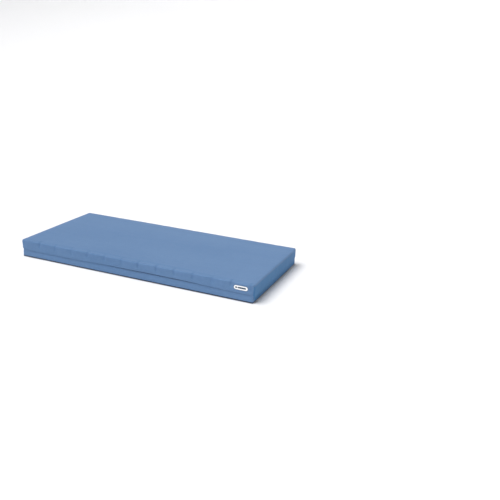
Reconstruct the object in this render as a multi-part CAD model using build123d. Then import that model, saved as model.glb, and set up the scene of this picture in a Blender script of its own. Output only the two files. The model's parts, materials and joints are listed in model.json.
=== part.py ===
from build123d import *
import os

os.makedirs("parts", exist_ok=True)

# A covered foam mattress. +X runs from head to foot, -Y is the front long side, +Z is up.
# The origin is on the surface that it lies on, under the middle of the whole mattress.

# Overall size, over the flaps
length = 2000.0
width = 900.0
height = 135.0

# Cover fabric and its corners
fabric = 1.5
flap_room = 8.0  # between the border's face and the outside of a flap
corner_radius = 18.0  # of the border, in plan

# Zip, which runs round the head end, the front and the foot end
zip_height = 68.0
zip_parting = 0.4  # half the gap between the two halves of the zip
zip_window = 6.0  # half the height of the slot in the border that shows the zip
tape_height = 16.0
tape_thickness = 1.0
coil_height = 3.0
coil_thickness = 2.5
zip_end = 26.0  # from the rear face to the end of the zip
stop_length = 4.0
stop_proud = 0.6

# Slider and pull, parked at the rear of the foot end
slider_length = 16.0
slider_plate = 1.5
slider_half_height = 5.4
slider_flange = 1.5
slider_clearance = 0.3
crown_length = 10.0
crown_width = 3.0
crown_wall = 1.4
crown_roof_share = 0.25  # of how far the crown stands out
pull_length = 24.0
pull_width = 8.0
pull_fill = 0.48  # of the crown's hole that the pull takes up
pull_bar = 1.8
pull_window_length = 7.0
pull_window_width = 4.6

# Flaps over the zip
front_flap_low = 58.0
head_flap_low = 64.0
foot_flap_low = 9.0
top_edge_drop = 10.0  # from the top panel's face to the seam that the flaps hang from
flap_gap = 0.8  # between that seam and a flap's top edge
slider_to_flap = 0.9
hem_height = 14.0
hem_thickness = 0.6

# Label on the front flap
label_length = 105.0
label_height = 30.0
label_thickness = 0.8
label_from_foot = 100.0
label_below_top = 35.0

# Foam core
core_clearance = 3.5  # from the border, all round
core_lift = 0.5  # from the bottom and the top panel
slot_count = 12
slot_pitch = 150.0
slit_width = 8.0
slit_depth = 10.0
leg_width = 7.0
leg_reach = 23.0  # sideways, from the slit to the end of a leg
leg_depth = 45.0
floor_slit_width = 10.0
floor_slit_depth = 12.0
floor_leg_depth = 47.0

# Edge binding round the bottom of the border
binding_height = 5.0
binding_proud = 0.8
binding_lift = 0.5

# Derived sizes
cover_length = length - 2 * flap_room
cover_width = width - flap_room - binding_proud
cover_y = (flap_room - binding_proud) / 2
front_face = cover_y - cover_width / 2
rear_face = cover_y + cover_width / 2
end_face = cover_length / 2
straight_x = end_face - corner_radius
flap_straight = corner_radius + flap_room
flap_top = height - top_edge_drop - flap_gap
cut_past = 1.0  # how far a cutting box reaches past what it cuts


def block(x0, x1, y0, y1, z0, z1):
    """A box between two corners."""
    size = Box(x1 - x0, y1 - y0, z1 - z0)
    return Pos((x0 + x1) / 2, (y0 + y1) / 2, (z0 + z1) / 2) * size


def outline(inset):
    """The cover's plan outline, moved inwards by inset."""
    plan = RectangleRounded(
        cover_length - 2 * inset, cover_width - 2 * inset, corner_radius - inset
    )
    return Pos(0, cover_y, 0) * plan


def band(inset, depth, z0, z1):
    """A ring that follows the cover's outline, from inset to inset + depth."""
    ring = outline(inset) - outline(inset + depth)
    return Pos(0, 0, z0) * extrude(ring, amount=z1 - z0)


def zip_side(ring):
    """Keeps the head end, the front and the foot end of a ring."""
    cut = block(-length, length, rear_face - zip_end, width, -height, 2 * height)
    return ring - cut


def border_strips(z0, z1, rear_z0, rear_z1):
    """The four strips of a border. The end strips turn the corners."""
    zip_band = band(0, fabric, z0, z1)
    rear_band = band(0, fabric, rear_z0, rear_z1)
    middle = cover_y
    far_x = end_face + cut_past
    far_front = front_face - cut_past
    far_rear = rear_face + cut_past
    front_zone = block(-straight_x, straight_x, far_front, middle, z0, z1)
    rear_zone = block(-straight_x, straight_x, middle, far_rear, rear_z0, rear_z1)
    head_zone = block(-far_x, -straight_x, far_front, far_rear, z0, z1)
    foot_zone = block(straight_x, far_x, far_front, far_rear, z0, z1)
    return {
        "front": zip_band & front_zone,
        "rear": rear_band & rear_zone,
        "head": zip_band & head_zone,
        "foot": zip_band & foot_zone,
    }


def make_borders():
    lower = border_strips(
        fabric, zip_height - zip_window, fabric, zip_height - zip_parting
    )
    upper = border_strips(
        zip_height + zip_window, height - fabric, zip_height + zip_parting, height - fabric
    )
    named = {f"lower_border_{side}": strip for side, strip in lower.items()}
    named.update({f"upper_border_{side}": strip for side, strip in upper.items()})
    return named


def make_panels():
    base = extrude(outline(0), amount=fabric)
    top_plan = RectangleRounded(length, width, corner_radius + flap_room)
    top = Pos(0, 0, height - fabric) * extrude(top_plan, amount=fabric)
    return {"base_panel": base, "top_panel": top}


def make_top_edge():
    """The turned-down edge of the top panel, which ends in the seam that the flaps hang from."""
    radius = corner_radius + flap_room
    plan = RectangleRounded(length, width, radius)
    inside = RectangleRounded(length - 2 * fabric, width - 2 * fabric, radius - fabric)
    drop = top_edge_drop - fabric
    ring = Pos(0, 0, height - top_edge_drop) * extrude(plan - inside, amount=drop)
    return {"top_edge": zip_side(ring)}


def make_binding():
    """The bound edge at the bottom seam, on the outside of the lower border."""
    ring = band(-binding_proud, binding_proud, binding_lift, binding_lift + binding_height)
    return {"bottom_binding": ring}


def make_zip():
    """Two tapes, each with its own row of teeth, and the stops at the ends of the lower row."""
    half = {"lower": -1, "upper": 1}
    nodes = {}
    for name, sign in half.items():
        near = zip_height + sign * zip_parting
        tape_far = near + sign * tape_height
        coil_far = near + sign * coil_height
        tape = band(fabric, tape_thickness, min(near, tape_far), max(near, tape_far))
        coil = band(
            fabric - coil_thickness, coil_thickness, min(near, coil_far), max(near, coil_far)
        )
        nodes[f"{name}_zip_tape"] = zip_side(tape)
        nodes[f"{name}_zip_coil"] = zip_side(coil)
    return nodes


def make_zip_stops():
    stops = []
    for side in (-1, 1):
        inner = side * (end_face - fabric)
        outer = side * (end_face + coil_thickness - fabric + stop_proud)
        x0, x1 = min(inner, outer), max(inner, outer)
        y0 = rear_face - zip_end
        low = zip_height - zip_parting - coil_height
        stops.append(block(x0, x1, y0, y0 + stop_length, low, zip_height - zip_parting))
    return {"zip_end_stops": Compound(children=stops)}


def make_slider():
    """The slider's outer plate with its lower flange and crown, open upwards, and the pull."""
    park = rear_face - zip_end - slider_length
    plate_x = end_face + coil_thickness - fabric + slider_clearance
    plate_out = plate_x + slider_plate
    half = slider_length / 2
    plate = block(
        plate_x, plate_out, park - half, park + half,
        zip_height - slider_half_height, zip_height + slider_half_height,
    )
    plate = fillet(plate.edges().filter_by(Axis.X), slider_half_height / 2)
    flange_top = zip_height - zip_parting - coil_height - slider_clearance
    flange = block(
        end_face - fabric + slider_clearance, plate_x, park - half / 2, park + half / 2,
        flange_top - slider_flange, flange_top,
    )
    crown_proud = length / 2 - fabric - slider_to_flap - plate_out
    crown_hole = crown_proud * (1 - crown_roof_share)
    arch = block(
        plate_out, plate_out + crown_proud, park - crown_length / 2, park + crown_length / 2,
        zip_height - crown_width / 2, zip_height + crown_width / 2,
    )
    hole_half = crown_length / 2 - crown_wall
    hole = block(
        plate_out, plate_out + crown_hole, park - hole_half, park + hole_half,
        zip_height - crown_width, zip_height + crown_width,
    )
    body = plate + flange + (arch - hole)
    pull_thickness = crown_hole * pull_fill
    pull_x = plate_out + (crown_hole - pull_thickness) / 2
    tab = block(
        pull_x, pull_x + pull_thickness, park - pull_length + pull_bar / 2, park + pull_bar / 2,
        zip_height - pull_width / 2, zip_height + pull_width / 2,
    )
    tab = fillet(tab.edges().filter_by(Axis.X), pull_width / 4)
    window = block(
        pull_x, pull_x + pull_thickness,
        park - pull_bar / 2 - pull_window_length, park - pull_bar / 2,
        zip_height - pull_window_width / 2, zip_height + pull_window_width / 2,
    )
    return {"zip_slider": body, "zip_pull": tab - window}


def hem_of(flap_box, low):
    """The doubled hem along a flap's lower edge."""
    x0, x1, y0, y1 = flap_box
    return block(x0, x1, y0, y1, low, low + hem_height)


def make_flaps():
    """Three flaps that hang from the edge of the top panel, each with its hem."""
    front_out = -width / 2 + label_thickness
    front_in = front_out + fabric
    reach_x = length / 2 - flap_straight
    reach_y0 = -width / 2 + flap_straight
    reach_y1 = width / 2 - flap_straight
    end_out = length / 2
    end_in = end_out - fabric
    return {
        "front_flap": block(-reach_x, reach_x, front_out, front_in, front_flap_low, flap_top),
        "front_flap_hem": hem_of(
            (-reach_x, reach_x, front_in, front_in + hem_thickness), front_flap_low
        ),
        "head_flap": block(-end_out, -end_in, reach_y0, reach_y1, head_flap_low, flap_top),
        "head_flap_hem": hem_of(
            (-end_in, -end_in + hem_thickness, reach_y0, reach_y1), head_flap_low
        ),
        "foot_flap": block(end_in, end_out, reach_y0, reach_y1, foot_flap_low, flap_top),
        "foot_flap_hem": hem_of(
            (end_in - hem_thickness, end_in, reach_y0, reach_y1), foot_flap_low
        ),
    }


def make_label():
    pill = SlotOverall(label_length, label_height)
    plate = extrude(pill, amount=label_thickness)
    x = length / 2 - label_from_foot
    z = height - label_below_top
    return {"label": Pos(x, -width / 2 + label_thickness, z) * Rot(90, 0, 0) * plate}


def bar(x0, z0, x1, z1, thickness):
    """A straight bar between two points of the core's side view."""
    along = Vector(x1 - x0, z1 - z0)
    across = Vector(-along.Y, along.X).normalized() * (thickness / 2)
    corners = [
        (x0 + across.X, z0 + across.Y),
        (x1 + across.X, z1 + across.Y),
        (x1 - across.X, z1 - across.Y),
        (x0 - across.X, z0 - across.Y),
    ]
    return make_face(Polyline(*corners, close=True))


def slot_profile(x, surface, inward, slit, slit_end, leg_end):
    """A slit in from a surface that forks into two slanted legs."""
    fork = surface + inward * slit_end
    foot = surface + inward * leg_end
    cut = bar(x, surface - inward * slit, x, fork + inward * leg_width / 2, slit)
    for side in (-1, 1):
        cut += bar(x, fork, x + side * leg_reach, foot, leg_width)
    return cut


def make_core():
    """One slab of foam, slotted from above and from below across its whole width."""
    inset = fabric + core_clearance
    core_length = cover_length - 2 * inset
    core_width = cover_width - 2 * inset
    low = fabric + core_lift
    high = height - fabric - core_lift
    side_view = Pos(0, (low + high) / 2) * Rectangle(core_length, high - low)
    first = -slot_pitch * (slot_count - 1) / 2
    for i in range(slot_count):
        x = first + i * slot_pitch
        side_view -= slot_profile(x, high, -1, slit_width, slit_depth, leg_depth)
        side_view -= slot_profile(
            x, low, 1, floor_slit_width, floor_slit_depth, floor_leg_depth
        )
    slab = Pos(0, cover_y, 0) * Rot(90, 0, 0) * extrude(side_view, amount=core_width / 2, both=True)
    return {"foam_core": slab & extrude(outline(inset), amount=height)}


def main():
    nodes = {}
    makers = (
        make_core, make_panels, make_top_edge, make_borders, make_binding, make_zip,
        make_zip_stops, make_slider, make_flaps, make_label,
    )
    for make in makers:
        nodes.update(make())
    for name, solid in nodes.items():
        export_step(solid, f"parts/{name}.step")


main()
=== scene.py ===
import json
import math

import bmesh
import bpy
from mathutils import Matrix, Vector, noise


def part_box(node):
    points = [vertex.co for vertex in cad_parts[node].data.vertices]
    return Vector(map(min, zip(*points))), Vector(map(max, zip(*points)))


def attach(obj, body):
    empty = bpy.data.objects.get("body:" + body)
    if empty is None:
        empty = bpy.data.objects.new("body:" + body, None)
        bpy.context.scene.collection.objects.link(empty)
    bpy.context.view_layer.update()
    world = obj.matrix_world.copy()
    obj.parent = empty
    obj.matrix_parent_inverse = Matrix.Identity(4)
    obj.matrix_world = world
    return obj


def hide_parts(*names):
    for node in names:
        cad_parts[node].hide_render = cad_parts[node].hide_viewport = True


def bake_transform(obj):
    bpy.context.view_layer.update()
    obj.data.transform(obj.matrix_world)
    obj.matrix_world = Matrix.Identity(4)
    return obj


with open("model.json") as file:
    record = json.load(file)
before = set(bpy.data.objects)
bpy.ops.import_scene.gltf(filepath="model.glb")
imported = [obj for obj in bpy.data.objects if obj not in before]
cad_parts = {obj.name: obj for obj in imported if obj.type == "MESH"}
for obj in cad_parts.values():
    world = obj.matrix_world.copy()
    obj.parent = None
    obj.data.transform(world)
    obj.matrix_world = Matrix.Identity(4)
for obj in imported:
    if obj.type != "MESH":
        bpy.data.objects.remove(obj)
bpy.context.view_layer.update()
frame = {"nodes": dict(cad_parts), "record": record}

mm = 0.001
topLow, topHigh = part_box("top_panel")
baseLow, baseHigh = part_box("base_panel")
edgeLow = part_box("top_edge")[0]
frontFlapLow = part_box("front_flap")[0]
headFlapLow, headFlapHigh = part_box("head_flap")
footFlapLow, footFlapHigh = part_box("foot_flap")
hinge = {joint["name"]: joint for joint in frame["record"]["behaviour"]["joints"]}


# Small helpers, used by every piece

def deselectAll():
    if bpy.context.object and bpy.context.object.mode != "OBJECT":
        bpy.ops.object.mode_set(mode="OBJECT")
    bpy.ops.object.select_all(action="DESELECT")


def makeActive(piece):
    deselectAll()
    piece.select_set(True)
    bpy.context.view_layer.objects.active = piece


def startEdit(piece, selectBy="VERT"):
    makeActive(piece)
    bpy.ops.object.mode_set(mode="EDIT")
    bpy.ops.mesh.select_mode(type=selectBy)
    bpy.ops.mesh.select_all(action="DESELECT")


def pick(piece, parts, test):  # parts is verts, edges or faces
    mesh = bmesh.from_edit_mesh(piece.data)
    for part in getattr(mesh, parts):
        part.select = False
    for part in getattr(mesh, parts):
        if test(part):
            part.select = True
    mesh.select_flush_mode()
    bmesh.update_edit_mesh(piece.data)


def endEdit():
    bpy.ops.object.mode_set(mode="OBJECT")


def addBlock(name, low, high):
    deselectAll()
    low, high = Vector(low), Vector(high)
    bpy.ops.mesh.primitive_cube_add(size=1, location=(low + high) / 2)
    block = bpy.context.object
    block.name = name
    block.data.name = name
    block.scale = high - low
    bpy.ops.object.transform_apply(location=True, rotation=True, scale=True)
    return block


def applyModifier(piece, kind, **settings):
    makeActive(piece)
    modifier = piece.modifiers.new(kind.title(), kind)
    for key, value in settings.items():
        setattr(modifier, key, value)
    bpy.ops.object.modifier_apply(modifier=modifier.name)


def copyPiece(piece, name):
    twin = piece.copy()
    twin.data = piece.data.copy()
    twin.name = name
    twin.data.name = name
    bpy.context.collection.objects.link(twin)
    return twin


def joinPieces(main, *others):
    makeActive(main)
    for other in others:
        other.select_set(True)
    bpy.ops.object.join()
    return main


def removePiece(piece):
    bpy.data.objects.remove(piece, do_unlink=True)


def cutAway(piece, point, normal):  # removes what lies on the side that normal points to
    startEdit(piece)
    bpy.ops.mesh.select_all(action="SELECT")
    bpy.ops.mesh.bisect(plane_co=point, plane_no=normal, clear_outer=True)
    endEdit()


def giveFinish(piece, *finishes):
    piece.data.materials.clear()
    for finish in finishes:
        piece.data.materials.append(finish)


def smooth(piece, degrees=40):
    makeActive(piece)
    bpy.ops.object.shade_smooth_by_angle(angle=math.radians(degrees))


def isUpright(edge):
    a, b = (v.co for v in edge.verts)
    return abs(a.x - b.x) < 1e-6 and abs(a.y - b.y) < 1e-6


def easeInOut(t):
    t = min(max(t, 0.0), 1.0)
    return t * t * (3 - 2 * t)


# Shader maths: a Wire wraps a socket, and expressions on wires add Math nodes

class Wire:
    def __init__(self, finish, socket):
        self.finish = finish
        self.socket = socket

    def math(self, operation, a, b=0.0):
        return self.finish.make("ShaderNodeMath", {"operation": operation}, {0: a, 1: b})

    def __add__(self, other):
        return self.math("ADD", self, other)

    def __sub__(self, other):
        return self.math("SUBTRACT", self, other)

    def __rsub__(self, other):
        return self.math("SUBTRACT", other, self)

    def __mul__(self, other):
        return self.math("MULTIPLY", self, other)

    def sine(self):
        return self.math("SINE", self)

    def size(self):
        return self.math("ABSOLUTE", self)

    def fraction(self):
        return self.math("FRACT", self)

    __radd__ = __add__
    __rmul__ = __mul__


class Finish:
    def __init__(self, name, **uniform):
        self.material = bpy.data.materials.new(name)
        self.material.use_nodes = True
        self.nodes = self.material.node_tree.nodes
        self.links = self.material.node_tree.links
        self.shader = self.nodes["Principled BSDF"]
        for key, value in uniform.items():
            self.shader.inputs[key].default_value = value

    def make(self, kind, settings=None, sockets=None, output=0):
        node = self.nodes.new(kind)
        for key, value in (settings or {}).items():
            if key == "stops":
                ramp = node.color_ramp.elements
                for place, shade in value[2:]:
                    ramp.new(place)
                for stop, (place, shade) in zip(ramp, value):
                    stop.position = place
                    stop.color = (*shade, 1) if len(shade) == 3 else shade
            else:
                setattr(node, key, value)
        for key, value in (sockets or {}).items():
            self.feed(node.inputs[key], value)
        return Wire(self, node.outputs[output])

    def feed(self, socket, value):
        if isinstance(value, Wire):
            self.links.new(value.socket, socket)
        else:
            socket.default_value = value

    def spot(self):
        return self.make("ShaderNodeTexCoord", output=3)

    def split(self, vector):
        first = self.make("ShaderNodeSeparateXYZ", sockets={0: vector})
        node = first.socket.node
        return [Wire(self, node.outputs[i]) for i in range(3)]

    def clouds(self, scale, detail=3, roughness=0.55, stretch=(1, 1, 1)):
        place = self.make("ShaderNodeMapping", sockets={"Vector": self.spot(), "Scale": stretch})
        sockets = {"Vector": place, "Scale": scale, "Detail": detail, "Roughness": roughness}
        return self.make("ShaderNodeTexNoise", sockets=sockets)

    def ramp(self, value, stops):
        return self.make("ShaderNodeValToRGB", {"stops": stops}, {0: value})

    def mix(self, factor, a, b, blend="MIX"):
        settings = {"data_type": "RGBA", "blend_type": blend}
        return self.make("ShaderNodeMix", settings, {0: factor, 6: a, 7: b}, output=2)

    def bump(self, height, strength, distance, below=None):
        sockets = {"Height": height, "Strength": strength, "Distance": distance}
        if below:
            sockets["Normal"] = below
        return self.make("ShaderNodeBump", sockets=sockets)

    def weave(self, pitch):  # two crossing rows of threads that show on any face
        x, y, z = self.split(self.spot())
        turn = 2 * math.pi / pitch
        return ((x + z * 0.93) * turn).sine() * ((y + z * 1.07) * turn).sine()

    def step(self, value, low, high):  # eases from 0 at low to 1 at high
        return self.make("ShaderNodeMapRange", {"interpolation_type": "SMOOTHSTEP"},
                         {"Value": value, "From Min": low, "From Max": high})

    def wear(self, low, high):  # marks that fade in towards the bottom
        z = self.split(self.spot())[2]
        sockets = {"Value": z, "From Min": high, "From Max": low}
        return self.make("ShaderNodeMapRange", sockets=sockets)


def shade(red, green, blue):
    return (red, green, blue, 1)


# The blue cover fabric: a fine stretch knit under a matt coating

coverLook = {
    "main": shade(0.108, 0.204, 0.372),
    "light": shade(0.130, 0.230, 0.400),
    "deep": shade(0.076, 0.160, 0.318),
    "knitPitch": 1.7 * mm,
    "roughness": 0.56,
}
crease = {
    "pitch": 150 * mm,
    "width": 19 * mm,
    "from": (78 * mm, 108 * mm),  # height at which it starts, and is full
    "side": (405 * mm, 438 * mm),  # the same, out from the middle line
    # how strongly painted shade darkens each slot crease
    "paintedShade": 0.5,
    "depth": 3.4 * mm,
}


def slotCreases(finish):  # short creases at the long edges, where the cover sinks over a slot
    x, y, z = finish.split(finish.spot())
    drift = finish.clouds(3.1, detail=2)
    phase = (x * (1 / crease["pitch"]) + drift * 0.16 - 0.08).fraction()
    line = finish.step((phase - 0.5).size(), crease["width"] / crease["pitch"], 0.0)
    height = finish.step(z, *crease["from"])
    rim = finish.step(y.size(), *crease["side"])
    uneven = finish.ramp(finish.clouds(5.3, detail=1), [(0.32, (0.25, 0.25, 0.25)),
                                                        (0.56, (1, 1, 1))])
    return line * height * rim * uneven


def makeCoverFinish(name, look, slackStrength):
    finish = Finish(name, **{"Sheen Weight": 0.03, "Specular IOR Level": 0.16})
    patches = finish.clouds(2.2, detail=4, stretch=(0.6, 1.3, 1))
    mottle = finish.clouds(34, detail=5, roughness=0.65)
    knit = finish.weave(look["knitPitch"])
    tone = finish.mix(finish.ramp(patches, [(0.3, (0, 0, 0)), (0.72, (1, 1, 1))]),
                      look["main"], look["light"])
    tone = finish.mix(finish.ramp(mottle, [(0.35, (1, 1, 1)), (0.62, (0, 0, 0))]) * 0.22,
                      tone, look["deep"])
    tone = finish.mix((knit + 1) * 0.09, tone, look["deep"])
    creases = slotCreases(finish)
    # painted shade: each slot crease is darkened towards the deep tone, on top of its bump
    tone = finish.mix(creases * crease["paintedShade"], tone, look["deep"])
    scuff = finish.wear(0.0, 0.022) * finish.clouds(60, detail=4)
    tone = finish.mix(scuff * 0.55, tone, look["deep"])
    finish.feed(finish.shader.inputs["Base Color"], tone)
    gloss = mottle * 0.16 + (look["roughness"] - 0.08) + knit * 0.03
    finish.feed(finish.shader.inputs["Roughness"], gloss)
    slack = finish.clouds(9, detail=3, stretch=(0.7, 1.6, 1.2))
    dimple = finish.clouds(70, detail=2)
    normal = finish.bump(slack, slackStrength, 6 * mm)
    normal = finish.bump(1 - creases, 0.8, crease["depth"], normal)
    normal = finish.bump(dimple, 0.12, 0.8 * mm, normal)
    normal = finish.bump(knit, 0.25, 0.12 * mm, normal)
    finish.feed(finish.shader.inputs["Normal"], normal)
    return finish.material


backingLook = {"light": shade(0.52, 0.58, 0.66), "deep": shade(0.40, 0.47, 0.57)}


def makeBackingFinish():  # the coated inner side of the cover
    finish = Finish("coverBacking", **{"Sheen Weight": 0.05})
    film = finish.clouds(18, detail=5)
    knit = finish.weave(1.7 * mm)
    tone = finish.mix(film, backingLook["light"], backingLook["deep"])
    tone = finish.mix((knit + 1) * 0.12, tone, backingLook["deep"])
    finish.feed(finish.shader.inputs["Base Color"], tone)
    finish.feed(finish.shader.inputs["Roughness"], film * 0.2 + 0.42)
    normal = finish.bump(finish.clouds(11, detail=3), 0.3, 5 * mm)
    finish.feed(finish.shader.inputs["Normal"], finish.bump(knit, 0.3, 0.12 * mm, normal))
    return finish.material


foamLook = {
    "light": shade(0.335, 0.345, 0.370),
    "deep": shade(0.250, 0.255, 0.275),
    "pore": shade(0.140, 0.142, 0.155),
    "cell": 900,
}


def makeFoamFinish():  # open-cell foam: pores of a millimetre, and a cloudy tint
    finish = Finish("slottedFoam", **{"Sheen Weight": 0.25, "Sheen Roughness": 0.7})
    cells = finish.make("ShaderNodeTexVoronoi", {"feature": "F1"},
                        {"Vector": finish.spot(), "Scale": foamLook["cell"]})
    coarse = finish.make("ShaderNodeTexVoronoi", {"feature": "F1"},
                         {"Vector": finish.spot(), "Scale": 260})
    cloud = finish.clouds(7, detail=5, roughness=0.6)
    speck = finish.clouds(150, detail=4, roughness=0.7)
    tone = finish.mix(finish.ramp(cloud, [(0.32, (0, 0, 0)), (0.7, (1, 1, 1))]),
                      foamLook["light"], foamLook["deep"])
    tone = finish.mix(finish.ramp(speck, [(0.42, (0, 0, 0)), (0.68, (1, 1, 1))]) * 0.4,
                      tone, foamLook["deep"])
    tone = finish.mix(finish.ramp(cells, [(0.0, (1, 1, 1)), (0.35, (0, 0, 0))]) * 0.6,
                      tone, foamLook["pore"])
    finish.feed(finish.shader.inputs["Base Color"], tone)
    finish.feed(finish.shader.inputs["Roughness"], speck * 0.1 + 0.86)
    normal = finish.bump(speck, 0.5, 1.2 * mm)
    normal = finish.bump(coarse, 0.35, 0.9 * mm, normal)
    finish.feed(finish.shader.inputs["Normal"], finish.bump(cells, 0.5, 0.4 * mm, normal))
    return finish.material


def makeWovenFinish(name, light, deep, pitch):  # tape, binding and thread
    finish = Finish(name, **{"Sheen Weight": 0.3, "Sheen Roughness": 0.5})
    knit = finish.weave(pitch)
    fuzz = finish.clouds(300, detail=3)
    tone = finish.mix((knit + 1) * 0.4, deep, light)
    finish.feed(finish.shader.inputs["Base Color"], finish.mix(fuzz * 0.4, tone, deep))
    finish.feed(finish.shader.inputs["Roughness"], fuzz * 0.2 + 0.65)
    finish.feed(finish.shader.inputs["Normal"], finish.bump(knit, 0.7, 0.25 * mm))
    return finish.material


def makeNylonFinish():
    finish = Finish("zipNylon", **{"Coat Roughness": 0.3})
    mottle = finish.clouds(240, detail=3)
    tone = finish.mix(mottle, shade(0.030, 0.060, 0.140), shade(0.055, 0.100, 0.205))
    finish.feed(finish.shader.inputs["Base Color"], tone)
    finish.feed(finish.shader.inputs["Roughness"], mottle * 0.2 + 0.28)
    finish.feed(finish.shader.inputs["Normal"], finish.bump(mottle, 0.2, 0.1 * mm))
    return finish.material


def makeMetalFinish():
    finish = Finish("nickelPlate", **{"Metallic": 1.0})
    scratch = finish.clouds(700, detail=3, stretch=(1, 0.12, 1))
    cloud = finish.clouds(120, detail=3)
    tone = finish.mix(cloud, shade(0.56, 0.56, 0.57), shade(0.44, 0.44, 0.45))
    finish.feed(finish.shader.inputs["Base Color"], tone)
    finish.feed(finish.shader.inputs["Roughness"], scratch * 0.2 + 0.2)
    finish.feed(finish.shader.inputs["Normal"], finish.bump(scratch, 0.25, 0.05 * mm))
    return finish.material


def makeLabelFinish(name, light, deep):
    finish = Finish(name, **{"Coat Weight": 0.25, "Coat Roughness": 0.2})
    film = finish.clouds(90, detail=4)
    finish.feed(finish.shader.inputs["Base Color"], finish.mix(film, light, deep))
    finish.feed(finish.shader.inputs["Roughness"], film * 0.15 + 0.26)
    finish.feed(finish.shader.inputs["Normal"], finish.bump(film, 0.1, 0.1 * mm))
    return finish.material


coverFinish = makeCoverFinish("coverFabric", coverLook, 0.36)
# painted shade: the foot flap's fabric is darker and bluer than the rest of the cover, standing
# in for the shade on the foot end, which faces away from the sun
footShadeLook = dict(coverLook, main=shade(0.052, 0.166, 0.350), light=shade(0.064, 0.190, 0.378),
                deep=shade(0.038, 0.128, 0.296))
footShadeFinish = makeCoverFinish("footFabric", footShadeLook, 0.36)
baseLook = dict(coverLook, main=shade(0.050, 0.115, 0.235), light=shade(0.064, 0.135, 0.262))
baseFinish = makeCoverFinish("baseFabric", baseLook, 0.2)
backingFinish = makeBackingFinish()
foamFinish = makeFoamFinish()
bindingFinish = makeWovenFinish("bindingTape", shade(0.014, 0.032, 0.072),
                                shade(0.006, 0.015, 0.038), 1.1 * mm)
tapeFinish = makeWovenFinish("zipTape", shade(0.060, 0.115, 0.235),
                             shade(0.028, 0.058, 0.130), 0.8 * mm)
threadFinish = makeWovenFinish("stitchThread", shade(0.110, 0.190, 0.345),
                               shade(0.060, 0.115, 0.235), 0.4 * mm)
nylonFinish = makeNylonFinish()
metalFinish = makeMetalFinish()
weldFinish = makeLabelFinish("pressedEdge", shade(0.030, 0.070, 0.150),
                             shade(0.022, 0.054, 0.122))
labelFinish = makeLabelFinish("labelWhite", shade(0.95, 0.96, 0.97), shade(0.90, 0.92, 0.94))
markFinish = makeLabelFinish("labelMark", shade(0.020, 0.045, 0.085), shade(0.030, 0.060, 0.11))
print("stage: finishes made")


# Camera: looks down on the front and the foot end, with the mattress left of the middle

view = {
    "place": (2.489, -4.295, 1.839),
    "azimuth": 21.74,
    "elevation": 19.30,
    "roll": 2.62,
    "lens": 46.8,
}


def addCamera():
    bpy.ops.object.camera_add(location=view["place"])
    camera = bpy.context.object
    camera.name = "studioCamera"
    turn = Matrix.Rotation(math.radians(view["azimuth"]), 3, "Z")
    tilt = Matrix.Rotation(math.radians(90 - view["elevation"]), 3, "X")
    roll = Matrix.Rotation(math.radians(view["roll"]), 3, "Z")
    camera.rotation_euler = (turn @ tilt @ roll).to_euler()
    camera.data.lens = view["lens"]
    camera.data.sensor_width = 36
    bpy.context.scene.camera = camera


studio = {
    "world": 0.2,
    "sun": 3.3,
    "sunFrom": (-0.383, -0.25, 0.88),
    "softness": 0.8,
    "floor": 0.9,
    "floorHeight": -3 * mm,  # low enough for the turned-over lid
    "floorRadius": 9.0,
    "rim": ((1.20, 0.12), (1.16, 0.55), (1.14, 1.4), (1.12, 2.6), (1.10, 3.6)),  # scale, rise
}


def addFloor():  # a shallow dish, so that the pale floor also stands behind the mattress
    deselectAll()
    bpy.ops.mesh.primitive_circle_add(vertices=96, radius=studio["floorRadius"],
                                      fill_type="NGON", location=(0, 0, studio["floorHeight"]))
    floor = bpy.context.object
    floor.name = "studioFloor"
    bpy.ops.object.transform_apply(location=True, rotation=True, scale=True)
    startEdit(floor, "EDGE")
    pick(floor, "edges", lambda edge: edge.is_boundary)
    for grow, rise in studio["rim"]:
        bpy.ops.mesh.extrude_edges_move(TRANSFORM_OT_translate={"value": (0, 0, rise)})
        bpy.ops.transform.resize(value=(grow, grow, 1), center_override=(0, 0, 0))
    endEdit()
    smooth(floor, 60)
    paint = Finish("studioFloorPaint", Roughness=0.8)
    pale = studio["floor"]
    haze = paint.clouds(0.8, detail=2)
    tone = paint.mix(haze, shade(pale, pale, pale), shade(pale * 0.98, pale * 0.98, pale))
    paint.feed(paint.shader.inputs["Base Color"], tone)
    giveFinish(floor, paint.material)


def addStudio():
    world = bpy.data.worlds.new("studioWorld")
    world.use_nodes = True
    background = world.node_tree.nodes["Background"]
    background.inputs["Color"].default_value = shade(1, 1, 1)
    background.inputs["Strength"].default_value = studio["world"]
    bpy.context.scene.world = world
    place = Vector(studio["sunFrom"]) * 6
    bpy.ops.object.light_add(type="SUN", location=place)
    sun = bpy.context.object
    sun.name = "softSun"
    sun.data.energy = studio["sun"]
    sun.data.angle = studio["softness"]
    sun.rotation_euler = (-place).to_track_quat("-Z", "Y").to_euler()
    addFloor()
    bpy.context.scene.view_settings.view_transform = "Standard"


addCamera()
addStudio()
print("stage: camera and studio placed")


# Soft shells: a grid for the top, its edge turned down into walls, and the corners rounded

shell = {
    "cell": 14 * mm,
    "edgeRadius": 8 * mm,
    "edgeSteps": 4,
    "cornerRadius": 14 * mm,
    "wallRows": 8,
}


def roundCorners(piece, low, high, radius):
    for vertex in piece.data.vertices:
        co = vertex.co
        for side, limit in ((-1, low), (1, high)):
            for end, edge in ((-1, low), (1, high)):
                u = (co.x * side - (side * limit.x - radius)) / radius
                v = (co.y * end - (end * edge.y - radius)) / radius
                if u > 0 and v > 0:
                    newU = u * math.sqrt(1 - min(v, 1) ** 2 / 2)
                    newV = v * math.sqrt(1 - min(u, 1) ** 2 / 2)
                    co.x = side * (side * limit.x - radius + newU * radius)
                    co.y = end * (end * edge.y - radius + newV * radius)


def outward(co, low, high, radius):  # which way a rounded block's wall faces at a place
    across = max(co.x - high.x + radius, 0) - max(low.x + radius - co.x, 0)
    deep = max(co.y - high.y + radius, 0) - max(low.y + radius - co.y, 0)
    way = Vector((across, deep, 0))
    return way.normalized() if way.length > 1e-6 else way


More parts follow.
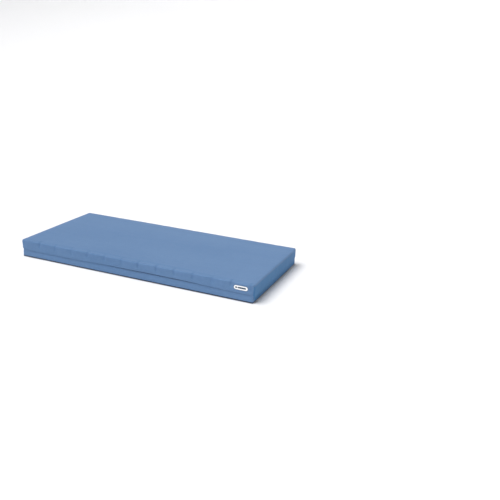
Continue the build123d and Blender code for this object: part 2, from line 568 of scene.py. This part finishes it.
def turnDown(drop):  # one more ring of faces round the rim
    bpy.ops.mesh.extrude_edges_move(TRANSFORM_OT_translate={"value": (0, 0, -drop)})


def softShell(name, low, high, edgeRadius, cornerRadius, rows, cell):
    low, high = Vector(low), Vector(high)
    width = high.x - low.x - 2 * edgeRadius
    depth = high.y - low.y - 2 * edgeRadius
    middle = Vector(((low.x + high.x) / 2, (low.y + high.y) / 2, high.z))
    deselectAll()
    bpy.ops.mesh.primitive_grid_add(
        x_subdivisions=round(width / cell), y_subdivisions=round(depth / cell),
        size=1, location=middle)
    piece = bpy.context.object
    piece.name = name
    piece.data.name = name
    piece.scale = (width, depth, 1)
    bpy.ops.object.transform_apply(location=True, rotation=True, scale=True)
    startEdit(piece, "EDGE")
    pick(piece, "edges", lambda edge: edge.is_boundary)
    reach, fallen = 0.0, 0.0
    for step in range(1, shell["edgeSteps"] + 1):
        angle = step / shell["edgeSteps"] * math.pi / 2
        newReach = edgeRadius * math.sin(angle)
        newFall = edgeRadius * (1 - math.cos(angle))
        turnDown(newFall - fallen)
        scale = ((width + 2 * newReach) / (width + 2 * reach),
                 (depth + 2 * newReach) / (depth + 2 * reach), 1)
        bpy.ops.transform.resize(value=scale, center_override=middle)
        reach, fallen = newReach, newFall
    wall = (high.z - low.z - edgeRadius) / rows
    for row in range(rows):
        turnDown(wall)
    endEdit()
    roundCorners(piece, low, high, cornerRadius)
    return piece


cloth = {
    "frames": 20,
    "pressure": 2.2,
    "shrink": -0.004,
    "mass": 0.25,
    "stretch": 12,
    "shear": 4,
    "bend": 0.3,
    "pinBelow": 6 * mm,
    "topCap": 1.2 * mm,  # the fabric is taut over the foam, so it can't move far
    "sideCap": 1.4 * mm,
}


def inflate(piece):
    start = [vertex.co.copy() for vertex in piece.data.vertices]
    pins = piece.vertex_groups.new(name="pins")
    low = [v.index for v in piece.data.vertices if v.co.z < cloth["pinBelow"]]
    pins.add(low, 1.0, "REPLACE")
    makeActive(piece)
    modifier = piece.modifiers.new("Cloth", "CLOTH")
    settings = modifier.settings
    settings.quality = 5
    settings.mass = cloth["mass"]
    settings.tension_stiffness = cloth["stretch"]
    settings.compression_stiffness = cloth["stretch"]
    settings.shear_stiffness = cloth["shear"]
    settings.bending_stiffness = cloth["bend"]
    settings.vertex_group_mass = "pins"
    settings.use_pressure = True
    settings.uniform_pressure_force = cloth["pressure"]
    settings.shrink_min = cloth["shrink"]
    settings.effector_weights.gravity = 0
    modifier.collision_settings.use_collision = False
    modifier.point_cache.frame_end = cloth["frames"]
    for step in range(1, cloth["frames"] + 1):
        bpy.context.scene.frame_set(step)
    bpy.ops.object.modifier_apply(modifier=modifier.name)
    bpy.context.scene.frame_set(1)
    piece.vertex_groups.clear()
    caps = Vector((cloth["sideCap"], cloth["sideCap"], cloth["topCap"]))
    for vertex, before in zip(piece.data.vertices, start):
        move = vertex.co - before
        vertex.co = before + Vector([min(max(part, -cap), cap) for part, cap in zip(move, caps)])


def subdivide(piece):
    applyModifier(piece, "SUBSURF", levels=1, render_levels=1,
                  boundary_smooth="PRESERVE_CORNERS")


def thicken(piece, thickness, backing=1):
    applyModifier(piece, "SOLIDIFY", thickness=thickness, offset=-1, use_rim=True,
                  material_offset=backing)


cover = {
    "fabric": 1.2 * mm,
    "crown": 2.5 * mm,  # how far the shell stands above the panel
    "footClear": 0.3 * mm,  # the foot end never falls in on the slider
    "flatSides": 85 * mm,  # the cut sheet also makes the rear wall and the turned-down edges
    "flatEnds": 20 * mm,
    "seam": edgeLow.z - 0.5 * mm,  # where the flaps hang from
    "rearFold": hinge["cover_open"]["pos_m"][2] + 0.4 * mm,
}
ripple = {
    "depth": 2.4 * mm,
    "length": 0.17,
    "middle": -0.05,
    "spread": 0.62,
    "front": 1.15,
    "ends": 0.45,
    "rear": 0.12,
}
dent = {  # the foam's slots show faintly through the cover
    "slots": 12,
    "pitch": 150 * mm,
    "width": 21 * mm,
    "wall": 4.8 * mm,
    "top": 2.2 * mm,
}


def rippleAt(along, z):  # how far a face stands in or out
    share = math.exp(-((along - ripple["middle"]) / ripple["spread"]) ** 2)
    wave = noise.noise(Vector((along / ripple["length"], z * 6, 3.1)))
    fine = noise.noise(Vector((along / ripple["length"] * 2.7, z * 14, 8.4)))
    return ripple["depth"] * (0.3 + 0.7 * share) * (wave + 0.45 * fine)


def dentAt(x, y):  # 0 to 1, deepest over a slot
    total = 0.0
    for i in range(dent["slots"]):
        slot = (i - (dent["slots"] - 1) / 2) * dent["pitch"]
        depth = 0.55 + 0.75 * noise.noise(Vector((slot * 7.3, y * 3, 4.4)))
        total += max(depth, 0.1) * math.exp(-((x - slot) / dent["width"]) ** 2)
    return total


def shapeFaces(piece, low, high):  # slack in the fabric that the pressure doesn't show
    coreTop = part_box("foam_core")[1].z + cover["fabric"] + 0.3 * mm
    for vertex in piece.data.vertices:
        co = vertex.co
        way = outward(co, low, high, shell["cornerRadius"])
        upper = easeInOut((co.z - 0.075) / 0.035)
        sunk = dentAt(co.x, co.y)
        if way.length and co.z < high.z - 2 * mm:
            share = (ripple["front"] * max(-way.y, 0) + ripple["rear"] * max(way.y, 0)
                     + ripple["ends"] * abs(way.x))
            along = co.x if abs(way.y) > abs(way.x) else co.y + 3.7
            co += way * rippleAt(along, co.z) * share
            co -= way * sunk * dent["wall"] * upper * abs(way.y) * min(share * 1.5, 1)
        if co.z > high.z - 4 * mm:
            near = math.exp(-(co.y - low.y) / 0.05) + 0.6 * math.exp(-(high.y - co.y) / 0.05)
            co.z -= sunk * dent["top"] * (0.25 + 0.75 * min(near, 1))
            co.z += noise.noise(Vector((co.x * 1.9, co.y * 2.6, 0.7))) * 0.6 * mm
            if not way.length:
                co.z = max(co.z, coreTop)
        if way.x > 0.9 and 0.05 < co.z < high.z - shell["edgeRadius"]:
            co.x = max(co.x, high.x + cover["footClear"])


def buildCoverShell():
    low, high = Vector((topLow.x, topLow.y, 0.0)), topHigh.copy()
    high.z = topHigh.z + cover["crown"]
    piece = softShell("coverShell", low, high, shell["edgeRadius"], shell["cornerRadius"],
                      shell["wallRows"], shell["cell"])
    inflate(piece)
    shapeFaces(piece, low, high)
    return piece


coverShell = buildCoverShell()
print("stage: cover shell simulated")


# Top of the cover: the lying surface, its turned-down edge, and the rear wall to the fold

def buildTopCover():
    piece = copyPiece(coverShell, "topCover")
    rear = copyPiece(coverShell, "rearWall")
    cutAway(piece, (0, 0, cover["seam"]), (0, 0, -1))
    cutAway(rear, (0, 0, cover["seam"]), (0, 0, 1))
    cutAway(rear, (0, 0, cover["rearFold"]), (0, 0, -1))
    cutAway(rear, (0, footFlapHigh.y + 0.6 * mm, 0), (0, -1, 0))
    piece = joinPieces(piece, rear)
    startEdit(piece)
    bpy.ops.mesh.select_all(action="SELECT")
    bpy.ops.mesh.remove_doubles(threshold=0.05 * mm)
    endEdit()
    subdivide(piece)
    giveFinish(piece, coverFinish, backingFinish)
    thicken(piece, cover["fabric"])
    smooth(piece, 60)
    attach(piece, "lid")
    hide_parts("top_panel", "top_edge", "upper_border_rear")
    flat = (topHigh.y - topLow.y + cover["flatSides"], topHigh.x - topLow.x + cover["flatEnds"])


# Flaps: cut from the same shell, so that they carry on from the turned-down edge

flap = {
    "thickness": 1.2 * mm,
    "hem": 13 * mm,
    "stitchFromEdge": 11 * mm,
    "lean": 0.4 * mm,  # how far the lower edge of the front and head flaps leans in
    "footLean": 2.6 * mm,
    "cornerLean": 2.0 * mm,  # more at the corners, where the border behind is rounder
    "labelMargin": (2.5 * mm, 2.0 * mm),  # the flap is flat this far round the label
    "labelFade": 30 * mm,
    "bendFrom": 1.0 * mm,  # below the seam, where a lifted flap would start to turn; no flap is bent by it
    "bendTo": 11 * mm,
}
flapEdge = {  # each step: where it starts, over what length, and how far it goes up
    "height": 58 * mm,  # along the head half
    "steps": ((-0.968, 0.03, -7 * mm), (-0.75, 0.95, 11 * mm), (0.33, 0.55, -9 * mm)),
    "atHead": 7 * mm,  # higher again at the head corner, where the first step takes it down
    "meet": (-0.414, 0.032),  # where an end flap's edge turns to meet the front flap's
    "wobble": {"front": 1.0 * mm, "head": 2.0 * mm, "foot": 0.8 * mm},
}


def frontEdgeHeight(x):  # the front flap's lower edge rises past the middle and falls again
    height = flapEdge["height"] + flapEdge["atHead"]
    for start, length, rise in flapEdge["steps"]:
        height += easeInOut((x - start) / length) * rise
    return height + noise.noise(Vector((x * 3.1, 0.3, 5.2))) * flapEdge["wobble"]["front"]


def meetFront(y, free, corner):  # an end flap's edge, brought to the front flap's at the corner
    start, length = flapEdge["meet"]
    return free + (frontEdgeHeight(corner.x) - free) * easeInOut((start - y) / length)


def headEdgeHeight(y):
    wobble = noise.noise(Vector((y * 4, 1.7, 2.2))) * flapEdge["wobble"]["head"]
    return meetFront(y, headFlapLow.z + wobble, topLow)


def footEdgeHeight(y):
    wobble = noise.noise(Vector((y * 4, 6.1, 4.4))) * flapEdge["wobble"]["foot"]
    return meetFront(y, footFlapLow.z + wobble, topHigh)


flapSides = {
    "front": {
        "along": 0, "out": Vector((0, -1, 0)), "edge": frontEdgeHeight, "cut": frontFlapLow.z,
        "mitres": (((topLow.x, topLow.y, 0), (-1, 1, 0)), ((topHigh.x, topLow.y, 0), (1, 1, 0))),
        "lean": flap["lean"], "leanCurve": 1.6, "joint": "flap_lift",
    },
    "head": {
        "along": 1, "out": Vector((-1, 0, 0)), "edge": headEdgeHeight, "cut": headFlapLow.z,
        "mitres": (((topLow.x, topLow.y, 0), (1, -1, 0)),
                   ((0, headFlapHigh.y, 0), (0, 1, 0)), ((0, 0, 0), (1, 0, 0))),
        "lean": flap["lean"], "leanCurve": 1.6, "joint": "head_flap_lift",
    },
    "foot": {
        "along": 1, "out": Vector((1, 0, 0)), "edge": footEdgeHeight, "cut": footFlapLow.z,
        "mitres": (((topHigh.x, topLow.y, 0), (-1, -1, 0)),
                   ((0, footFlapHigh.y, 0), (0, 1, 0)), ((0, 0, 0), (-1, 0, 0))),
        "lean": flap["footLean"], "leanCurve": 4, "joint": "foot_flap_lift",
    },
}


def hangFlap(piece, side):
    seam = cover["seam"]
    for vertex in piece.data.vertices:
        co = vertex.co
        edge = side["edge"](co[side["along"]])
        share = (seam - co.z) / (seam - side["cut"])
        co.z = seam - share * (seam - edge)
        way = outward(co, topLow, topHigh, shell["cornerRadius"])
        lean = side["lean"] + flap["cornerLean"] * 2 * min(abs(way.x), abs(way.y))
        co -= (way if way.length else side["out"]) * lean * share ** side["leanCurve"]


def flattenUnderLabel(piece):
    low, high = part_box("label")
    middle, half = (low + high) / 2, (high - low) / 2
    across, tall = flap["labelMargin"]
    for vertex in piece.data.vertices:
        co = vertex.co
        away = max(abs(co.x - middle.x) - half.x - across, abs(co.z - middle.z) - half.z - tall)
        co.y += (high.y - co.y) * (1 - easeInOut(away / flap["labelFade"]))


def bendFlap(piece, side):
    seam = cover["seam"]
    place = Vector(hinge[side["joint"]]["pos_m"])
    start = (place.x, place.y, seam - flap["bendFrom"])
    end = (place.x, place.y, seam - flap["bendTo"])
    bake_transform(piece)


def buildFlap(name):
    side = flapSides[name]
    piece = copyPiece(coverShell, f"{name}Flap")
    cutAway(piece, (0, 0, cover["seam"]), (0, 0, 1))
    cutAway(piece, (0, 0, side["cut"]), (0, 0, -1))
    if name == "front":
        cutAway(piece, (0, 0, 0), (0, 1, 0))
    for point, normal in side["mitres"]:
        cutAway(piece, point, normal)
    hangFlap(piece, side)
    subdivide(piece)
    if name == "front":
        flattenUnderLabel(piece)
    # the foot flap takes the fabric with painted shade
    giveFinish(piece, footShadeFinish if name == "foot" else coverFinish, backingFinish)
    hem = copyPiece(piece, f"{name}FlapHem")
    thicken(piece, flap["thickness"])
    smooth(piece, 60)
    finishHem(hem, side)
    body = f"{name}_flap"
    bendFlap(piece, side)
    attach(hem, body)
    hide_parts(f"{name}_flap")
    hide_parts(f"{name}_flap_hem")
    cover["seam"] - side["cut"] + 4 * mm
    return piece


def finishHem(hem, side):  # the turned-up edge, sewn to the inside of the flap
    for vertex in hem.data.vertices:
        co = vertex.co
        edge = side["edge"](co[side["along"]])
        share = (cover["seam"] - co.z) / (cover["seam"] - edge)
        co.z = edge + flap["hem"] * (1 - share) + 0.2 * mm
        co -= side["out"] * (flap["thickness"] + 0.05 * mm)
    thicken(hem, 0.9 * mm)
    smooth(hem, 60)


buildTopCover()
flaps = {name: buildFlap(name) for name in flapSides}
print("stage: top cover and flaps cut")


# Lower border and base panel, with the bound seam between them

lower = {
    "bulge": {"front": 4.2 * mm, "head": 4.2 * mm, "foot": 2.2 * mm, "rear": 0.5 * mm},
    "window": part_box("lower_border_front")[1].z,
    "rearTop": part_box("lower_border_rear")[1].z,
    "cornerRadius": 10 * mm,
    "binding": (0.3 * mm, 7.8 * mm),  # bottom and top of the bound edge
    "cuts": (6, 16, 27, 38, 49, 56),  # rows of faces, in millimetres from the floor
}


def slicePlane(piece, point, normal):
    startEdit(piece)
    bpy.ops.mesh.select_all(action="SELECT")
    bpy.ops.mesh.bisect(plane_co=point, plane_no=normal)
    endEdit()


def sliceEvery(piece, low, high, pitch):  # upright cuts across the length and the width
    for axis in (0, 1):
        normal = Vector((axis == 0, axis == 1, 0))
        for step in range(1, round((high[axis] - low[axis]) / pitch)):
            slicePlane(piece, normal * (low[axis] + step * pitch), normal)


def roundUprights(block, radius):
    startEdit(block, "EDGE")
    pick(block, "edges", isUpright)
    bpy.ops.mesh.bevel(offset=radius, segments=6, affect="EDGES")
    endEdit()


def addBand(name, low, high, radius):  # the four walls of a block with rounded corners
    band = addBlock(name, low, high)
    roundUprights(band, radius)
    startEdit(band, "FACE")
    pick(band, "faces", lambda face: abs(face.normal.z) > 0.9)
    bpy.ops.mesh.delete(type="FACE")
    endEdit()
    return band


def standOut(co):  # how far the filled lower border stands out at a place
    way = outward(co, baseLow, baseHigh, lower["cornerRadius"])
    bulge = lower["bulge"]
    across = bulge["foot"] if way.x > 0 else bulge["head"]
    deep = bulge["rear"] if way.y > 0 else bulge["front"]
    share = min(max(co.z / lower["window"], 0), 1)
    if share < 0.35:
        swell = 1 - 0.15 * ((0.35 - share) / 0.35) ** 2
    else:
        swell = 1 - 0.85 * ((share - 0.35) / 0.65) ** 1.5
    return Vector((way.x * across, way.y * deep, 0)) * swell


def fillOut(piece):
    for vertex in piece.data.vertices:
        co = vertex.co
        way = outward(co, baseLow, baseHigh, lower["cornerRadius"])
        share = min(max(co.z / lower["window"], 0), 1)
        slack = noise.noise(Vector((co.x * 4, co.y * 4, co.z * 18))) * math.sin(math.pi * share)
        quiet = 0.2 if way.y > 0.5 else 1.0
        co += standOut(co) + way * slack * quiet * 1.1 * mm


def buildLowerBorder():
    low = Vector((baseLow.x, baseLow.y, 0))
    high = Vector((baseHigh.x, baseHigh.y, lower["rearTop"]))
    piece = addBand("lowerBorder", low, high, lower["cornerRadius"])
    sliceEvery(piece, low, high, 30 * mm)
    for height in lower["cuts"]:
        slicePlane(piece, (0, 0, height * mm), (0, 0, 1))
    slicePlane(piece, (0, 0, lower["window"]), (0, 0, 1))
    rearEdge = baseHigh.y - lower["cornerRadius"] - 8 * mm
    startEdit(piece, "FACE")
    pick(piece, "faces", lambda face: face.calc_center_median().z > lower["window"]
         and face.calc_center_median().y < rearEdge)
    bpy.ops.mesh.delete(type="FACE")
    endEdit()
    fillOut(piece)
    giveFinish(piece, coverFinish, backingFinish)
    thicken(piece, 1.3 * mm)
    smooth(piece, 50)
    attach(piece, "base")
    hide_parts("lower_border_front", "lower_border_rear", "lower_border_head",
                "lower_border_foot")


def buildBasePanel():
    piece = addBlock("basePanel", baseLow, baseHigh)
    roundUprights(piece, lower["cornerRadius"])
    startEdit(piece, "FACE")
    pick(piece, "faces", lambda face: abs(face.normal.z) > 0.9)
    bpy.ops.mesh.inset(thickness=7 * mm, depth=0)
    bpy.ops.mesh.inset(thickness=1.2 * mm, depth=-0.35 * mm)
    bpy.ops.mesh.inset(thickness=1.2 * mm, depth=0.35 * mm)
    endEdit()
    for vertex in piece.data.vertices:
        vertex.co += standOut(vertex.co)
    giveFinish(piece, baseFinish)
    smooth(piece, 30)
    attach(piece, "base")
    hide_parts("base_panel")


def buildBinding():
    low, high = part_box("bottom_binding")
    low.z, high.z = lower["binding"]
    piece = addBand("bottomBinding", low, high, lower["cornerRadius"])
    for vertex in piece.data.vertices:
        vertex.co += standOut(vertex.co)
    thicken(piece, 2.0 * mm, backing=0)
    applyModifier(piece, "BEVEL", width=0.7 * mm, segments=3, limit_method="ANGLE",
                  angle_limit=math.radians(50))
    giveFinish(piece, bindingFinish)
    smooth(piece, 40)
    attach(piece, "base")
    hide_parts("bottom_binding")


buildLowerBorder()
buildBasePanel()
buildBinding()
print("stage: lower border, base and binding made")


# The inner wall of the lid, behind the flaps

def buildUpperBorder():
    low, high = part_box("upper_border_head")[0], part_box("upper_border_foot")[1]
    top = cover["seam"] + 6 * mm
    piece = addBand("upperBorder", low, (high.x, high.y, top), lower["cornerRadius"])
    cutAway(piece, (0, high.y - lower["cornerRadius"] - 6 * mm, 0), (0, 1, 0))
    sliceEvery(piece, low, high, 50 * mm)
    for step in range(1, 4):
        slicePlane(piece, (0, 0, low.z + step * 14 * mm), (0, 0, 1))
    for vertex in piece.data.vertices:
        co = vertex.co
        slack = noise.noise(Vector((co.x * 5, co.y * 5, co.z * 20))) * 0.7 * mm
        out = Vector((co.x / high.x, 0, 0)) if abs(co.x) > high.x - 1 * mm else Vector((0, -1, 0))
        co += out * slack
    giveFinish(piece, coverFinish, backingFinish)
    thicken(piece, 1.2 * mm)
    smooth(piece, 50)
    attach(piece, "lid")
    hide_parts("upper_border_front", "upper_border_head", "upper_border_foot")
    top - low.z


# The zip: a path round three sides, along which tapes, teeth and stitches run

zipLook = {"toothPitch": 4.0 * mm, "tooth": (2.5 * mm, 2.3 * mm, 2.6 * mm)}


def placesRound(inset, z, pitch, end):  # out-facing places from the rear of the head end
    radius = lower["cornerRadius"] - inset
    xFace = baseHigh.x - inset
    yFace = baseLow.y + inset
    sideRun = end - (yFace + radius)
    frontRun = 2 * (xFace - radius)
    turnRun = radius * math.pi / 2
    total = 2 * sideRun + frontRun + 2 * turnRun
    places = []
    for i in range(int(total / pitch)):
        s = (i + 0.5) * pitch
        if s < sideRun:
            point, facing = Vector((-xFace, end - s, z)), math.pi
        elif s < sideRun + turnRun:
            facing = math.pi + (s - sideRun) / radius
            middle = Vector((-xFace + radius, yFace + radius, z))
            point = middle + radius * Vector((math.cos(facing), math.sin(facing), 0))
        elif s < sideRun + turnRun + frontRun:
            run = s - sideRun - turnRun
            point, facing = Vector((-xFace + radius + run, yFace, z)), 1.5 * math.pi
        elif s < sideRun + 2 * turnRun + frontRun:
            facing = 1.5 * math.pi + (s - sideRun - turnRun - frontRun) / radius
            middle = Vector((xFace - radius, yFace + radius, z))
            point = middle + radius * Vector((math.cos(facing), math.sin(facing), 0))
        else:
            run = s - sideRun - 2 * turnRun - frontRun
            point, facing = Vector((xFace, yFace + radius + run, z)), 2 * math.pi
        places.append(Matrix.Translation(point) @ Matrix.Rotation(facing, 4, "Z"))
    return places


def repeatAt(name, unit, places):  # one modelled unit, copied into a single mesh
    spots = [vertex.co.copy() for vertex in unit.data.vertices]
    faces = [list(face.vertices) for face in unit.data.polygons]
    allSpots, allFaces = [], []
    for place in places:
        start = len(allSpots)
        allSpots += [place @ spot for spot in spots]
        allFaces += [[start + i for i in face] for face in faces]
    mesh = bpy.data.meshes.new(name)
    mesh.from_pydata(allSpots, [], allFaces)
    mesh.update()
    piece = bpy.data.objects.new(name, mesh)
    bpy.context.collection.objects.link(piece)
    removePiece(unit)
    return piece


def modelTooth():  # one moulded tooth: a block pinched where the other row meshes with it
    along, out, tall = zipLook["tooth"]
    tooth = addBlock("tooth", (-0.2 * mm, -along / 2, -tall / 2), (out, along / 2, tall / 2))
    startEdit(tooth, "FACE")
    pick(tooth, "faces", lambda face: face.normal.z > 0.9)
    bpy.ops.transform.resize(value=(1, 0.55, 1), center_override=(out / 2, 0, tall / 2))
    endEdit()
    applyModifier(tooth, "BEVEL", width=0.3 * mm, segments=1)
    return tooth


def buildTape(name, body):
    low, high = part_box(f"{name}_zip_tape")
    tape = addBand(f"{name}ZipTape", low, (high.x, high.y + 0.05, high.z),
                   lower["cornerRadius"] - 1.5 * mm)
    cutAway(tape, (0, high.y, 0), (0, 1, 0))
    slicePlane(tape, (0, 0, (low.z + high.z) / 2), (0, 0, 1))
    giveFinish(tape, tapeFinish)
    thicken(tape, 0.9 * mm, backing=0)
    smooth(tape, 40)
    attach(tape, body)
    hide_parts(f"{name}_zip_tape")


def buildTeeth(name, body, shift, turn):  # one row hangs upside down, half a tooth further on
    low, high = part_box(f"{name}_zip_coil")
    places = placesRound(1.5 * mm, (low.z + high.z) / 2, zipLook["toothPitch"],
                         high.y - shift * zipLook["toothPitch"])
    places = [place @ Matrix.Rotation(turn, 4, "X") for place in places]
    teeth = repeatAt(f"{name}ZipTeeth", modelTooth(), places)
    giveFinish(teeth, nylonFinish)
    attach(teeth, body)
    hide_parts(f"{name}_zip_coil")


def buildZip():
    buildTape("lower", "base")
    buildTeeth("lower", "base", 0.0, 0.0)
    buildTape("upper", "lid")
    buildTeeth("upper", "lid", 0.5, math.pi)
    for node in ("zip_slider", "zip_pull", "zip_end_stops"):
        giveFinish(frame["nodes"][node], metalFinish)


# Stitches along the hems and along the border beside the zip

stitch = {"pitch": 5.0 * mm, "length": 3.4 * mm, "radius": 0.35 * mm}


def modelStitch():  # lies along Y, half sunk into the cloth, and faces +X
    deselectAll()
    bpy.ops.mesh.primitive_uv_sphere_add(segments=6, ring_count=4, radius=1)
    unit = bpy.context.object
    unit.scale = (stitch["radius"], stitch["length"] / 2, stitch["radius"])
    bpy.ops.object.transform_apply(location=True, rotation=True, scale=True)
    return unit


def surfaceSpots(piece, side, fromEdge):
    along = side["along"]
    spots = []
    low = min(vertex.co[along] for vertex in piece.data.vertices) + 0.024
    high = max(vertex.co[along] for vertex in piece.data.vertices) - 0.024
    facing = math.atan2(side["out"].y, side["out"].x)
    turn = Matrix.Rotation(facing, 4, "Z")
    for i in range(int((high - low) / stitch["pitch"])):
        place = low + (i + 0.5) * stitch["pitch"]
        height = side["edge"](place) + fromEdge
        origin = Vector((0, 0, height)) + side["out"] * 1.2
        origin[along] = place
        hit, point, normal, index = piece.ray_cast(origin, -side["out"])
        if hit:
            spots.append(Matrix.Translation(point) @ turn)
    return spots


def buildHemStitches():
    for name, side in flapSides.items():
        places = surfaceSpots(flaps[name], side, flap["stitchFromEdge"])
        row = repeatAt(f"{name}HemStitches", modelStitch(), places)
        giveFinish(row, threadFinish)
        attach(row, f"{name}_flap")


def buildSeamStitches():
    end = baseHigh.y - lower["cornerRadius"] - 10 * mm
    middle = sum(lower["binding"]) / 2
    rows = (
        ("lowerZipStitches", "base", -0.1 * mm, lower["window"] - 3.2 * mm),
        ("upperZipStitches", "lid", -0.1 * mm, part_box("upper_border_front")[0].z + 3.2 * mm),
        ("bindingStitches", "base", -0.8 * mm, middle),
    )
    for name, body, inset, height in rows:
        places = placesRound(inset, height, stitch["pitch"], end)
        if name == "bindingStitches":  # this row goes on along the rear
            turn = Matrix.Rotation(math.pi / 2, 4, "Z")
            count = int((baseHigh.x - 0.02) * 2 / stitch["pitch"])
            places += [Matrix.Translation(((i - count / 2) * stitch["pitch"],
                                           baseHigh.y - inset, height)) @ turn
                       for i in range(count + 1)]
        if body == "base":
            places = [Matrix.Translation(standOut(place.translation)) @ place
                      for place in places]
        row = repeatAt(name, modelStitch(), places)
        giveFinish(row, threadFinish)
        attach(row, body)


buildUpperBorder()
buildZip()
buildHemStitches()
buildSeamStitches()
print("stage: zip, inner wall and stitches made")


# Label: a blank pill with a raised rim, and a plain dark dot and bar where a name would be

label = {
    "rim": 2.4 * mm,
    "step": 0.35 * mm,
    "dot": (-35.5 * mm, 14 * mm, 14 * mm),  # middle from the label's own, length, height
    "bar": (7.0 * mm, 64 * mm, 12 * mm),
    "weld": 2.8 * mm,  # the pressed edge round it
}


def addPill(name, middle, length, height, depth):  # a disc pulled apart, facing the front
    deselectAll()
    bpy.ops.mesh.primitive_cylinder_add(vertices=40, radius=height / 2, depth=depth,
                                        rotation=(math.pi / 2, 0, 0))
    piece = bpy.context.object
    piece.name = name
    piece.data.name = name
    piece.location = middle - Vector((0, depth / 2, 0))
    bpy.ops.object.transform_apply(location=True, rotation=True, scale=True)
    startEdit(piece, "VERT")
    for way in (-1, 1):
        pick(piece, "verts", lambda v: (v.co.x - middle.x) * way > 0.01 * mm)
        bpy.ops.transform.translate(value=(way * (length - height) / 2, 0, 0))
    bpy.ops.mesh.select_mode(type="FACE")
    pick(piece, "faces", lambda face: face.normal.y < -0.9)
    bpy.ops.mesh.inset(thickness=0.3 * mm, depth=0.15 * mm)
    endEdit()
    return piece


def buildLabel():
    low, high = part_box("label")
    middle = Vector(((low.x + high.x) / 2, high.y, (low.z + high.z) / 2))
    length, height, depth = high.x - low.x, high.z - low.z, high.y - low.y
    pill = addPill("labelPill", middle, length, height, depth)
    startEdit(pill, "FACE")
    pick(pill, "faces", lambda face: face.normal.y < -0.9)
    bpy.ops.mesh.inset(thickness=label["rim"], depth=0)
    bpy.ops.mesh.inset(thickness=0.4 * mm, depth=-label["step"])
    endEdit()
    giveFinish(pill, labelFinish)
    weld = addPill("labelWeld", middle, length + 2 * label["weld"],
                   height + 2 * label["weld"], 0.15 * mm)
    giveFinish(weld, weldFinish)
    parts = [pill, weld]
    face = middle - Vector((0, depth + 0.15 * mm - label["step"], 0))
    for name, key in (("labelDot", "dot"), ("labelBar", "bar")):
        along, length, height = label[key]
        mark = addPill(name, face + Vector((along, 0.02 * mm, 0)), length, height, 0.1 * mm)
        giveFinish(mark, markFinish)
        parts.append(mark)
    for part in parts:
        smooth(part, 30)
        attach(part, "front_flap")
    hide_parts("label")


# Foam core: the CAD slab's shape, its cut edges softened

core = {"softEdge": 2.2 * mm}


def buildCore():
    piece = copyPiece(frame["nodes"]["foam_core"], "foamCore")
    piece.parent = None
    for key in list(piece.keys()):
        del piece[key]
    startEdit(piece)
    bpy.ops.mesh.select_all(action="SELECT")
    bpy.ops.mesh.remove_doubles(threshold=0.01 * mm)
    bpy.ops.mesh.dissolve_limited(angle_limit=math.radians(1))
    endEdit()
    applyModifier(piece, "BEVEL", width=core["softEdge"], segments=2, limit_method="ANGLE",
                  angle_limit=math.radians(25))
    giveFinish(piece, foamFinish)
    smooth(piece, 50)
    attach(piece, "base")
    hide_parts("foam_core")


buildLabel()
buildCore()
removePiece(coverShell)
print("stage: label and foam core made")
